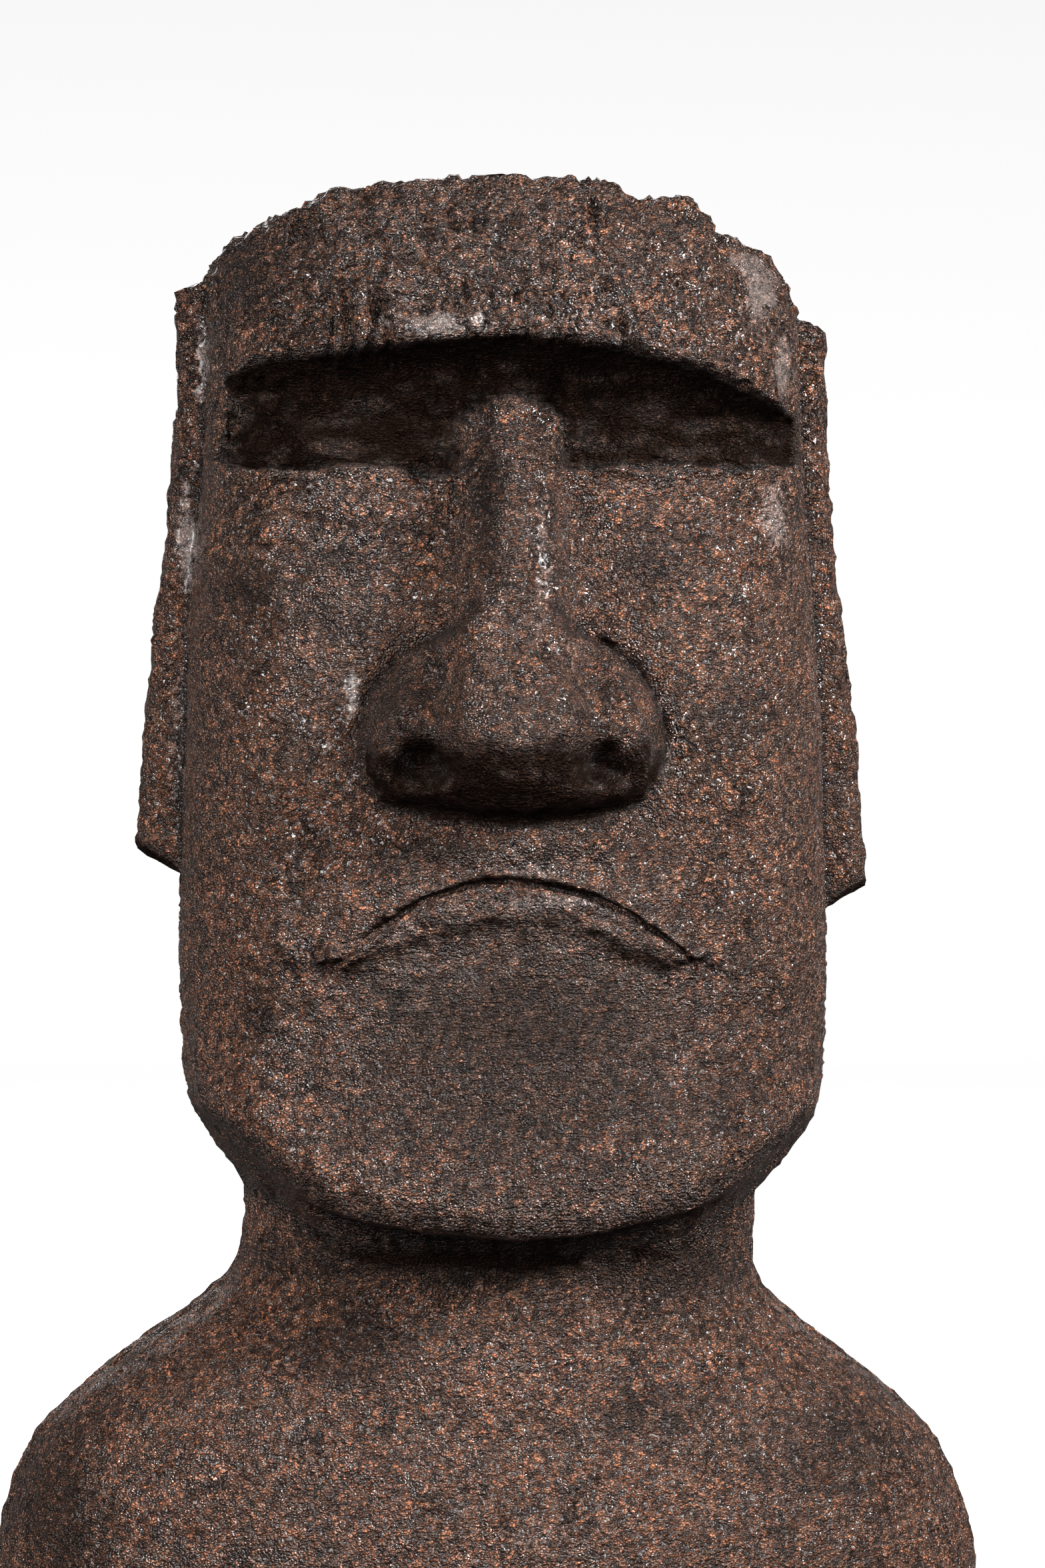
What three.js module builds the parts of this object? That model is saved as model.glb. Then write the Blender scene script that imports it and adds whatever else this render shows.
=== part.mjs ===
// Moai bust: one cast piece, the head, neck and shoulders of a stone figure, cut flat below the chest.
// Millimetres, +Z up, the face looks along -Y and the origin is in the middle of the underside.
// The surface is a net of rows, from the crown down to the base, and columns that run round the figure.
// Rows follow the carved lines of the head, and columns follow the sides of the nose and the ears.
import * as THREE from 'three';

// Driving sizes
const height = 622; // underside to crown
const headWidth = 275; // across the jaw, without the ears
const faceDepth = 104; // middle of the head to the cheeks
const headBack = 96; // middle of the head to its back
const neckWidth = 216;
const shoulderWidth = 416;
const chestDepth = 100; // middle of the figure to the chest at the base
const backDepth = 97; // middle of the figure to its back at the base
const lean = 5; // the head stands a little to its own left of the shoulders
const tilt = 8; // one ear and that side of the crown sit higher by twice this
const noseWidth = 124; // across the nostrils
const bridgeWidth = 41; // across the top of the nose
const mouthWidth = 142;
const socketDepth = 37; // eye sockets below the brow
const grooveDepth = 3.4; // the cut line of the mouth
const lipHeight = 2.6; // both lips stand this far forward of the cheeks
const earReach = 16.5; // how far the ears stand out from the head
const wingHeight = 22.5; // the wings of the nose stand this far out of the cheeks
const nostrilDepth = 11;

// Carved lines as shares of the height, at four places round the figure:
// the middle of the face, below the mouth's corner, the side of the head, and the back.
// steps counts the rows from a line to the next.
// cut, nose, ear, lip and groove say how much of each the line carries.
const lines = [
  { name: 'crownInner', at: [0.9985, 0.993, 0.962, 0.96], shrink: 0.3, steps: 1 },
  { name: 'crownMiddle', at: [0.9985, 0.993, 0.962, 0.96], shrink: 0.6, steps: 1 },
  { name: 'crownOuter', at: [0.9985, 0.993, 0.962, 0.96], shrink: 0.86, steps: 1 },
  { name: 'crownRim', at: [0.9985, 0.993, 0.962, 0.96], steps: 1 },
  { name: 'crownEdge', at: [0.991, 0.985, 0.946, 0.946], steps: 2 },
  { name: 'earTop', at: [0.957, 0.952, 0.929, 0.92], steps: 1 },
  { name: 'earShelf', at: [0.94, 0.937, 0.919, 0.905], ear: 1, steps: 3 },
  { name: 'browLip', at: [0.889, 0.877, 0.86, 0.865], ear: 1, steps: 1 },
  { name: 'browUnder', at: [0.876, 0.865, 0.851, 0.853], cut: 0.42, ear: 1, nose: 0.3, steps: 3 },
  { name: 'socketFloor', at: [0.8145, 0.8145, 0.82, 0.828], cut: 1, ear: 1, nose: 1, steps: 1 },
  { name: 'cheekEdge', at: [0.807, 0.807, 0.812, 0.815], ear: 1, nose: 1, steps: 6 },
  { name: 'noseFlare', at: [0.712, 0.712, 0.715, 0.715], ear: 1, nose: 1, steps: 9 },
  { name: 'noseBase', at: [0.587, 0.6, 0.558, 0.56], ear: 1, nose: 1, steps: 1 },
  { name: 'noseUnder', at: [0.579, 0.592, 0.5435, 0.546], ear: 1, steps: 1 },
  { name: 'earFoot', at: [0.567, 0.566, 0.5265, 0.53], steps: 3 },
  { name: 'mouthTop', at: [0.5405, 0.493, 0.503, 0.506], lip: 1, steps: 1 },
  { name: 'mouth', at: [0.5345, 0.487, 0.495, 0.498], lip: 1, groove: 1, steps: 1 },
  { name: 'mouthBottom', at: [0.529, 0.4815, 0.487, 0.49], lip: 1, steps: 2 },
  { name: 'lipFoot', at: [0.511, 0.472, 0.473, 0.475], lip: 0.9, steps: 1 },
  { name: 'lipUnder', at: [0.504, 0.465, 0.465, 0.465], steps: 10 },
  { name: 'jawEdge', at: [0.3065, 0.322, 0.379, 0.356], steps: 1 },
  { name: 'jawUnder', at: [0.298, 0.311, 0.352, 0.334], steps: 1 },
  { name: 'neckTop', at: [0.289, 0.298, 0.328, 0.312], steps: 2 },
  { name: 'neckFoot', at: [0.2655, 0.267, 0.2765, 0.272], steps: 14 },
  { name: 'baseEdge', at: [0.006, 0.006, 0.006, 0.006], steps: 1 },
  { name: 'base', at: [0, 0, 0, 0], steps: 1 },
  { name: 'baseInner', at: [0, 0, 0, 0], shrink: 0.93, steps: 0 },
];

// Side profiles and widths: [share of the height, size] pairs, joined by a smooth curve.
const frontProfile = [
  [0, chestDepth],
  [0.1, 0.97 * chestDepth],
  [0.19, 0.86 * chestDepth],
  [0.265, 0.79 * faceDepth],
  [0.289, 0.81 * faceDepth],
  [0.299, 0.99 * faceDepth],
  [0.3075, 1.15 * faceDepth],
  [0.33, 1.18 * faceDepth],
  [0.4, 1.09 * faceDepth],
  [0.47, 1.03 * faceDepth],
  [0.54, 1.045 * faceDepth],
  [0.6, 1.03 * faceDepth],
  [0.7, 0.99 * faceDepth],
  [0.806, 0.965 * faceDepth],
  [0.82, 1.0 * faceDepth],
  [0.8835, 1.16 * faceDepth],
  [0.93, 1.15 * faceDepth],
  [0.968, 1.08 * faceDepth],
  [0.992, 0.98 * faceDepth],
  [1, 0.9 * faceDepth],
];
const backProfile = [
  [0, backDepth],
  [0.12, 0.99 * backDepth],
  [0.2, 0.88 * backDepth],
  [0.27, 0.78 * headBack],
  [0.31, 0.79 * headBack],
  [0.38, 0.88 * headBack],
  [0.5, 0.98 * headBack],
  [0.65, headBack],
  [0.8, 0.97 * headBack],
  [0.9, 0.86 * headBack],
  [0.94, 0.76 * headBack],
  [0.97, 0.6 * headBack],
];
const halfWidths = [
  [0, 0.493 * shoulderWidth],
  [0.064, 0.5 * shoulderWidth],
  [0.1, 0.494 * shoulderWidth],
  [0.132, 0.477 * shoulderWidth],
  [0.161, 0.455 * shoulderWidth],
  [0.188, 0.416 * shoulderWidth],
  [0.22, 0.355 * shoulderWidth],
  [0.246, 0.299 * shoulderWidth],
  [0.268, 0.264 * shoulderWidth],
  [0.285, 0.5 * neckWidth],
  [0.328, 0.5 * neckWidth],
  [0.352, 0.435 * headWidth],
  [0.379, 0.478 * headWidth],
  [0.41, 0.49 * headWidth],
  [0.48, 0.494 * headWidth],
  [0.6, 0.489 * headWidth],
  [0.71, 0.48 * headWidth],
  [0.8, 0.463 * headWidth],
  [0.9, 0.452 * headWidth],
  [0.928, 0.45 * headWidth],
  [0.946, 0.437 * headWidth],
  [0.962, 0.412 * headWidth],
];
const leanProfile = [
  [0, 0],
  [0.12, -0.4 * lean],
  [0.22, -0.5 * lean],
  [0.3, 0.7 * lean],
  [0.4, lean],
];
const tiltProfile = [
  [0.28, 0],
  [0.34, 0.3 * tilt],
  [0.44, 0.3 * tilt],
  [0.54, tilt],
  [0.925, tilt],
  [0.96, 0.5 * tilt],
];

// The plan of a row is a rounded box: a high power has flat sides, 2 is an ellipse.
const frontPower = [[0.02, 2.6], [0.24, 2.3], [0.3, 2.4], [0.38, 3.2], [0.8, 3.6], [0.9, 3], [1, 2.5]];
const rearPower = [[0.02, 2.6], [0.25, 2.2], [0.4, 2.5], [0.8, 2.6], [1, 2.3]];
const cornerShare = 0.93; // where the face ends and the side begins, as a share of the half width

// Half widths that the columns beside the nose keep, from the base up
const noseColumn = [
  [0, 0.17 * shoulderWidth],
  [0.2, 0.16 * shoulderWidth],
  [0.3, 0.2 * neckWidth],
  [0.45, 0.34 * mouthWidth],
  [0.54, 0.36 * mouthWidth],
  [0.575, 0.4 * noseWidth],
  [0.592, 0.43 * noseWidth],
  [0.599, 0.46 * noseWidth],
  [0.612, 0.49 * noseWidth],
  [0.632, 0.5 * noseWidth],
  [0.659, 0.46 * noseWidth],
  [0.682, 0.365 * noseWidth],
  [0.702, 0.61 * bridgeWidth],
  [0.722, 0.52 * bridgeWidth],
  [0.85, 0.5 * bridgeWidth],
  [0.875, 0.62 * bridgeWidth],
  [0.93, 0.9 * bridgeWidth],
  [1, bridgeWidth],
];
const ridgeProfile = [
  [0.58, 1.2 * faceDepth],
  [0.59, 1.31 * faceDepth],
  [0.605, 1.385 * faceDepth],
  [0.63, 1.4 * faceDepth],
  [0.66, 1.35 * faceDepth],
  [0.7, 1.26 * faceDepth],
  [0.76, 1.18 * faceDepth],
  [0.82, 1.105 * faceDepth],
  [0.862, 1.04 * faceDepth],
];
const ridgeHalf = [
  [0.58, 0.25 * noseWidth],
  [0.63, 0.2 * noseWidth],
  [0.68, 0.19 * noseWidth],
  [0.75, 0.47 * bridgeWidth],
];
const wingLift = [
  [0.57, 0.62 * wingHeight],
  [0.6, 0.93 * wingHeight],
  [0.63, wingHeight],
  [0.66, 0.76 * wingHeight],
  [0.68, 0.44 * wingHeight],
  [0.705, 0.09 * wingHeight],
  [0.72, 0],
];
const wingRadius = 0.22 * noseWidth;

// Chips broken from the front edge of the crown: place and width along X, and depth down
const chips = [
  { x: -57, width: 9, depth: 3.5 },
  { x: 56, width: 12, depth: 3 },
  { x: 84, width: 9, depth: 4 },
];

const noseStations = [0.18, 0.36, 0.53, 0.69, 0.84, 1]; // columns across half the nose
const footGap = 0.05 * bridgeWidth; // from the nose's side to its foot on the cheek
const cheekColumns = 9;
const sideStations = [-0.78, -0.52, -0.3, -0.26, -0.16, 0, 0.08, 0.36, 0.46, 0.62, 0.68, 0.86];
const earStations = { front: -0.28, bevel: -0.14, channelFront: 0.04, channelBack: 0.42, back: 0.65 };
const earProfile = [[0.56, 1.2], [0.75, 0.8]]; // the ears stand out further towards the lobes
const channelLevels = { bottom: 0.61, top: 0.88 }; // a shallow channel runs down the side of each ear
const channelDepth = 0.3 * earReach;
const sideDepth = 0.63 * faceDepth; // side columns are evenly set up to this far from the middle
const backColumns = 9;
const crownFall = 0.02; // the crown drops by this share of the height to each side
const chipsAbove = 0.92; // the chips reach down to this level
const faceAbove = 0.32; // the carving of the face starts above the edge of the jaw
const noseBlend = 0.055 * noseWidth; // rounding between the ridge and the wings of the nose

// Smooth curve through [place, value] pairs that never overshoots them
function through(pairs, place) {
  const last = pairs.length - 1;
  if (place <= pairs[0][0]) return pairs[0][1];
  if (place >= pairs[last][0]) return pairs[last][1];
  let i = 0;
  while (place > pairs[i + 1][0]) i += 1;
  const slope = (k) => (pairs[k + 1][1] - pairs[k][1]) / (pairs[k + 1][0] - pairs[k][0]);
  const tangent = (k) => {
    if (k === 0) return slope(0);
    if (k === last) return slope(last - 1);
    const before = slope(k - 1);
    const after = slope(k);
    return before * after <= 0 ? 0 : (2 * before * after) / (before + after);
  };
  const span = pairs[i + 1][0] - pairs[i][0];
  const t = (place - pairs[i][0]) / span;
  const start = pairs[i][1] * (1 + 2 * t) * (1 - t) ** 2 + tangent(i) * span * t * (1 - t) ** 2;
  const end = pairs[i + 1][1] * t * t * (3 - 2 * t) + tangent(i + 1) * span * t * t * (t - 1);
  return start + end;
}

const { lerp, smoothstep, clamp } = THREE.MathUtils;
const bump = (offset, width) => smoothstep(1 - Math.abs(offset) / width, 0, 1);

// The larger of two depths, with the corner between them rounded over a given radius
function softMax(a, b, radius) {
  const h = clamp(0.5 + (0.5 * (a - b)) / radius, 0, 1);
  return lerp(b, a, h) + radius * h * (1 - h);
}

// Every row of the net, with what it carries of each carved feature
function makeRows() {
  const rows = [];
  lines.forEach((line, n) => {
    const next = lines[n + 1];
    for (let step = 0; step < Math.max(line.steps, 1); step += 1) {
      const t = line.steps ? step / line.steps : 0;
      const mix = (key, otherwise) => {
        const here = line[key] ?? otherwise;
        return lerp(here, next ? next[key] ?? otherwise : here, t);
      };
      rows.push({
        at: line.at.map((share, place) => lerp(share, next ? next.at[place] : share, t)),
        shrink: mix('shrink', 1),
        cut: mix('cut', 0),
        nose: mix('nose', 0),
        groove: mix('groove', 0),
        lip: mix('lip', 0),
        ear: mix('ear', 0),
      });
    }
  });
  return rows;
}

// Columns in order round the figure, from one front corner across the face to the other, and back behind
function makeColumns() {
  const half = [];
  noseStations.forEach((share) => half.push({ zone: 'nose', share }));
  for (let i = 0; i < cheekColumns; i += 1) half.push({ zone: 'cheek', share: i / (cheekColumns - 1) });
  const mirrored = half.slice().reverse();
  const face = [
    ...mirrored.map((column) => ({ ...column, side: -1 })),
    { zone: 'nose', share: 0, side: 1 },
    ...half.map((column) => ({ ...column, side: 1 })),
  ];
  const flank = sideStations.map((share) => ({ zone: 'flank', share }));
  const rear = [];
  for (let i = 0; i < backColumns; i += 1) {
    rear.push({ zone: 'rear', share: Math.cos((Math.PI * i) / (backColumns - 1)) });
  }
  return [
    ...face,
    ...flank.map((column) => ({ ...column, side: 1 })),
    ...rear.map((column) => ({ ...column, side: 1 })),
    ...flank.slice().reverse().map((column) => ({ ...column, side: -1 })),
  ];
}

// Share of the half depth left at a share of the half width, on a rounded box
const boxed = (share, power) => (1 - Math.min(Math.abs(share), 1) ** power) ** (1 / power);

// How much higher a side of the head sits
const tiltOf = (share, side) => -side * through(tiltProfile, share);

// Height of a row where it crosses the face at a distance from the middle
function faceLevel(row, x, reach, side) {
  const [middle, corner, flank] = row.at.map((share) => share * height);
  const raised = flank + tiltOf(row.at[2], side);
  const mouthHalf = mouthWidth / 2;
  const inner = lerp(middle, corner, Math.min(x / mouthHalf, 1) ** 2);
  if (x <= mouthHalf) return inner;
  return lerp(corner, raised, smoothstep(x, mouthHalf * 0.92, reach));
}

// How far the nose stands forward of the middle of the head
function noseDepth(x, level, cheek) {
  const share = level / height;
  const ridge = through(ridgeProfile, share);
  const half = through(ridgeHalf, share);
  const flat = ridge - 0.2 * half * (x / half) ** 2;
  const steep = Math.max(0, x / half - 0.82);
  const ridgeSurface = flat - 6.5 * half * steep * steep;
  const wingMiddle = Math.max(0, through(noseColumn, share) - wingRadius);
  const round = Math.sqrt(Math.max(0, 1 - ((x - wingMiddle) / wingRadius) ** 2));
  const wings = cheek + through(wingLift, share) * (x < wingMiddle ? 1 : round);
  return softMax(ridgeSurface, wings, noseBlend);
}

// Hollows of the nostrils, in the lower front of each wing
function nostril(x, level) {
  const across = (x - 0.275 * noseWidth) / (0.15 * noseWidth);
  const up = (level - 0.6135 * height + 0.01 * height * across * across) / (0.0135 * height);
  return nostrilDepth * Math.exp(-(across ** 2 + up ** 2) * 1.1);
}

// Extra depth that the carving of the face takes from, or adds to, the plan of the row
function carve(row, x, level, plan) {
  const across = (2 * x) / headWidth;
  const socketFade = 1 - smoothstep(across, 0.78, 0.96);
  let depth = plan - row.cut * socketDepth * socketFade;
  const mouthFade = 1 - smoothstep(x / (mouthWidth / 2), 0.9, 1.08);
  depth -= row.groove * grooveDepth * mouthFade;
  depth += row.lip * lipHeight * mouthFade;
  if (row.nose > 0) {
    const nose = noseDepth(x, level, plan);
    if (nose > depth) depth = lerp(depth, nose, row.nose);
    depth -= nostril(x, level) * (x < noseWidth / 2 ? 1 : 0);
  }
  return depth;
}

// Height of the crown's top at a share of its half width and half depth: it falls backwards and to both sides
function crownTop(row, u, v) {
  const middle = lerp(row.at[0], row.at[3], smoothstep(v, -1.1, 1.1));
  return height * (middle - crownFall * Math.abs(u) ** 3) - 0.5 * tilt * u;
}

// Place of a side column from front to back: evenly set, and drawn to the corners of the row at both ends
function flankDepth(share, frontCorner, rearCorner) {
  const corner = share < 0 ? frontCorner : rearCorner;
  const even = Math.abs(share) * Math.min(sideDepth, Math.abs(corner));
  const place = lerp(even, Math.abs(corner), Math.abs(share) ** 3);
  return Math.sign(share) * place;
}

// Point of the front, from the middle of the nose out to the corner of the face
function facePoint(row, plan, { zone, share, side }) {
  const edge = Math.min(through(noseColumn, row.at[0]), 0.6 * plan.half);
  const gap = lerp(6 * footGap, footGap, row.nose);
  const x = zone === 'nose' ? edge * share : lerp(edge + gap, cornerShare * plan.half, share);
  let z = faceLevel(row, x, plan.half, side);
  if (row.at[2] > chipsAbove) {
    chips.forEach((chip) => {
      z -= chip.depth * bump(side * x - chip.x, chip.width);
    });
  }
  const depth = plan.front * boxed(x / plan.half, plan.frontPower);
  const y = -(row.at[0] > faceAbove ? carve(row, x, z, depth) : depth);
  return [side * x, y, z];
}

// How far the ear stands out of the head where a row meets a side column
function earStep(row, share) {
  const { front, bevel, channelFront, channelBack, back } = earStations;
  const within = clamp((share - front) / 0.02, 0, 1) * clamp((back - share) / 0.03, 0, 1);
  const slant = 0.35 * (1 - smoothstep(share, front, bevel));
  const level = row.at[2];
  const inChannel = share > channelFront && share < channelBack;
  const cut = inChannel && level > channelLevels.bottom && level < channelLevels.top;
  const reach = earReach * through(earProfile, level) * (1 - slant);
  return row.ear * within * (reach - (cut ? channelDepth : 0));
}

// Point of either side, from the corner of the face back to the corner of the rear
function flankPoint(row, plan, { share, side }) {
  const y = flankDepth(share, -plan.front * plan.frontCorner, plan.rear * plan.rearCorner);
  const along = y < 0 ? boxed(-y / plan.front, plan.frontPower) : boxed(y / plan.rear, plan.rearPower);
  const x = plan.half * along + earStep(row, share);
  const level = row.at[2] * height + tiltOf(row.at[2], side);
  return [side * x, y, lerp(level, row.at[3] * height, smoothstep(share, 0.7, 1.3))];
}

// Point of the rear
function rearPoint(row, plan, { share }) {
  const x = share * cornerShare * plan.half;
  const y = plan.rear * boxed(x / plan.half, plan.rearPower);
  const level = row.at[2] * height + tiltOf(row.at[2], Math.sign(x));
  return [x, y, lerp(row.at[3] * height, level, smoothstep(Math.abs(share), 0.4, 1.6))];
}

// Point of the net where a row meets a column
function netPoint(row, column) {
  const plan = {
    half: through(halfWidths, row.at[2]),
    front: through(frontProfile, row.at[0]),
    rear: through(backProfile, row.at[3]),
    frontPower: through(frontPower, row.at[2]),
    rearPower: through(rearPower, row.at[3]),
  };
  plan.frontCorner = boxed(cornerShare, plan.frontPower);
  plan.rearCorner = boxed(cornerShare, plan.rearPower);
  const pointIn = { nose: facePoint, cheek: facePoint, flank: flankPoint, rear: rearPoint };
  const [x, y, level] = pointIn[column.zone](row, plan, column);
  const [across, along] = [x * row.shrink, y * row.shrink];
  const onCrown = row.shrink < 1 && row.at[0] > 0.5;
  const z = onCrown ? crownTop(row, across / plan.half, along / plan.front) : level;
  return new THREE.Vector3(across + through(leanProfile, row.at[2]), along, z);
}

// One closed surface: the net, with a point in the middle of the crown and one under the base
function makeBust() {
  const columns = makeColumns();
  const net = makeRows().map((row) => columns.map((column) => netPoint(row, column)));
  const points = net.flat();
  const middleOf = (row) => row.reduce((sum, p) => sum.add(p), new THREE.Vector3()).divideScalar(row.length);
  const crown = points.push(middleOf(net[0])) - 1;
  const underside = points.push(middleOf(net[net.length - 1])) - 1;
  const count = columns.length;
  const faces = [];
  for (let c = 0; c < count; c += 1) {
    const d = (c + 1) % count;
    faces.push(crown, c, d);
    for (let r = 0; r < net.length - 1; r += 1) {
      const upper = r * count;
      const lower = upper + count;
      const corners = [upper + c, lower + c, lower + d, upper + d];
      const [p, q, s, t] = corners.map((k) => points[k]);
      const down = p.distanceTo(s) <= q.distanceTo(t);
      const [i, j, k, l] = corners;
      faces.push(...(down ? [i, j, k, i, k, l] : [i, j, l, j, k, l]));
    }
    const bottom = (net.length - 1) * count;
    faces.push(underside, bottom + d, bottom + c);
  }
  const geometry = new THREE.BufferGeometry().setFromPoints(points);
  geometry.setIndex(faces);
  geometry.computeVertexNormals();
  return geometry;
}

// Dark brown cast stone under a worn, half-gloss varnish
const stone = new THREE.MeshStandardMaterial({ color: 0x3a2c27, roughness: 0.5, metalness: 0 });
const bust = new THREE.Mesh(makeBust(), stone);
bust.name = 'moai_bust';

const figure = new THREE.Group();
figure.add(bust);

export default figure;
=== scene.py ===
import math

import bpy
import numpy as np
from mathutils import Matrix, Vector, noise


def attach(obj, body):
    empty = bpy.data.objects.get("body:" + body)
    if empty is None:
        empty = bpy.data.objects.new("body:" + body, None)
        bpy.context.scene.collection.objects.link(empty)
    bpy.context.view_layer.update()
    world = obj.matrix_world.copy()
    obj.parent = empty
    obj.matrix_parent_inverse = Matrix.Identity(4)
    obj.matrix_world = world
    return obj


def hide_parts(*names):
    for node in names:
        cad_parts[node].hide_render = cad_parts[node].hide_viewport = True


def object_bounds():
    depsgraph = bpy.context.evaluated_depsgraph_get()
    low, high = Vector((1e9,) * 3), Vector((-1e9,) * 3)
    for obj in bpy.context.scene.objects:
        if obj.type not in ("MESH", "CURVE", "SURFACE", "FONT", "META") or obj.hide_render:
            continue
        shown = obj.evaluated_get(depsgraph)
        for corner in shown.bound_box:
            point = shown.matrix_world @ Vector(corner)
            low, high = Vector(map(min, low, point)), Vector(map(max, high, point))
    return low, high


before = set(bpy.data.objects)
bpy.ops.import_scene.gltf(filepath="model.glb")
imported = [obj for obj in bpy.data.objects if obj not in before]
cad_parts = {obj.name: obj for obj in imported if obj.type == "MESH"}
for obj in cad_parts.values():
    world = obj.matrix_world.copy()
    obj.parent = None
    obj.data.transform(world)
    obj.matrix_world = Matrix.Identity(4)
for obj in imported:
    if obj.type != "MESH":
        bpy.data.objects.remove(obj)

cadLow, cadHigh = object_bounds()
mm = 0.001

# Places below are millimetres in the frame of the part: x to the right of the viewer, z up.


# Helpers for picking objects and for reading and writing meshes

def pickOnly(piece):
    bpy.ops.object.select_all(action="DESELECT")
    piece.select_set(True)
    bpy.context.view_layer.objects.active = piece


def choose(mesh, kind, chosen):  # selects only the chosen faces or edges, for the next edit
    for group in (mesh.vertices, mesh.edges, mesh.polygons):
        group.foreach_set("select", np.zeros(len(group), bool))
    getattr(mesh, kind).foreach_set("select", chosen)
    mode = "FACE" if kind == "polygons" else "EDGE"
    bpy.ops.object.mode_set(mode="EDIT")
    bpy.ops.mesh.select_mode(type=mode)


def readArray(items, name, width, kind=float):
    flat = np.empty(len(items) * width, dtype=kind)
    items.foreach_get(name, flat)
    return flat.reshape(-1, width) if width > 1 else flat


def soften(low, high, value):  # 0 below low, 1 above high, smooth between
    share = np.clip((value - low) / (high - low), 0, 1)
    return share * share * (3 - 2 * share)


def patchy(points, size, octaves=3, seed=0, stretch=(1, 1, 1)):  # fractal noise, about -1 to 1
    shift = np.array((seed * 17.3, seed * 5.1, seed * -9.7))
    places = points / (np.array(stretch) * size) + shift
    return np.array([noise.fractal(Vector(place), 1.0, 2.0, octaves) for place in places])


def awayFromRoute(route, points):  # distance in the front view from a line through the route's places
    flat = points[:, (0, 2)]
    nearest = np.full(len(flat), 1e9)
    for start, end in zip(np.array(route[:-1], float), np.array(route[1:], float)):
        along = end - start
        share = np.clip((flat - start) @ along / max(along @ along, 1e-9), 0, 1)
        nearest = np.minimum(nearest, np.linalg.norm(flat - start - share[:, None] * along, axis=1))
    return nearest


def awayFromSpot(spot, points):  # 1 on the rim of an ellipse: x, z, half width, half height
    x, z, wide, tall = spot[:4]
    return np.hypot((points[:, 0] - x) / wide, (points[:, 2] - z) / tall)


class Clay:  # the piece's mesh as arrays in millimetres, pushed and pulled as a sculptor would

    def __init__(self, piece):
        self.mesh = piece.data
        self.points = readArray(self.mesh.vertices, "co", 3) / mm
        self.renew()

    def renew(self):
        self.mesh.vertices.foreach_set("co", (self.points * mm).ravel())
        self.mesh.update()
        self.normals = readArray(self.mesh.vertices, "normal", 3)

    def push(self, height):
        self.points += self.normals * height[:, None]
        self.renew()

    def calmNormals(self, rounds):
        rough = self.points.copy()
        self.points = self.smoothed(rounds)
        self.renew()
        calm = self.normals.copy()
        self.points = rough
        self.renew()
        return calm

    def smoothed(self, rounds):
        edges = readArray(self.mesh.edges, "vertices", 2, np.int32)
        ends = np.concatenate((edges[:, 0], edges[:, 1]))
        others = np.concatenate((edges[:, 1], edges[:, 0]))
        count = np.bincount(ends, minlength=len(self.points))[:, None]
        calm = self.points.copy()
        for _ in range(rounds):
            sums = np.stack([np.bincount(ends, calm[others, i], len(calm)) for i in range(3)], axis=1)
            calm = 0.5 * calm + 0.5 * sums / count
        return calm


castShape = {
    "sharpFrom": 30,  # degrees between two faces, from which their edge stays crisp
    "crease": 0.5,
    "levels": 2,
    "refineReach": 3.0,  # how far round each fine mark the mesh is split once more
    "refineHalf": 116,  # half width of the brow and cheek lines where it is split
    "frontFrom": -30,  # the marks of the face lie before this y
    "middle": 5,  # x of the line down the middle of the face
    "recess": 5,  # depth under the brow, next to the bridge of the nose
    "recessAside": 4,  # how much deeper it is away from the bridge
    "recessLow": 4,  # and how much deeper again at its foot
    "recessUneven": 1.6,
    "browLip": 2.6,  # how far the lip over the recess stands out
    "browLipUneven": 2.2,
    "cheekEdge": 1.2,
    "cheekEdgeUneven": 3.4,
    "bridgeRound": 5,  # how far the sides of the bridge fall back
    "noseCrease": 2.4,
    "noseCreaseHalf": 3,
    "wingHollow": 6,
    "wingHollowSpot": (36, 381, 12, 7.5),  # from the middle, height, half width, half height
    "crownChips": 1.3,
    "wingRim": 3,
    "bulbDrop": 2,
    "upperLipSwell": 5,
    "jawFlat": 0.7,  # share of the way up to the jaw's edge that its underside is lifted
    "sunk": 0.3,
    "broadWaves": 1.1,  # the coat's unevenness, from broad to fine
    "waves": 0.9,
    "tongues": 1.0,
    "streaks": 0.35,
    "flakes": 0.7,  # how far flakes stand out, or leave a scar
    "flakesHigh": 0.7,  # how much more of that on the forehead
    "mouthEnds": (-70, 82),  # x of its left and right end
    "mouthGap": 2.2,
    "upperLip": 1.2,
    "lowerLip": 1.3,
}

# Where a carved form fades in: the height where it is nothing, then the height where it is full

castPlaces = {
    "bridgeLow": (438, 452),
    "bridgeHigh": (545, 535),
    "crown": (588, 604),
    "crownBack": (-20, -60),  # this one and the next are y, not heights
    "jawBack": (-84, -87),
    "wingLow": (365, 370),
    "wingHigh": (392, 380),
    "bulbLow": (352, 360),
    "bulbHigh": (384, 374),
    "philtrumLow": (335, 350),
    "philtrumHigh": (366, 358),
    "foreheadLow": (545, 565),
    "foreheadHigh": (608, 600),
    "chest": (250, 200),
}

# The marks of the cast that the front shows

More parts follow.
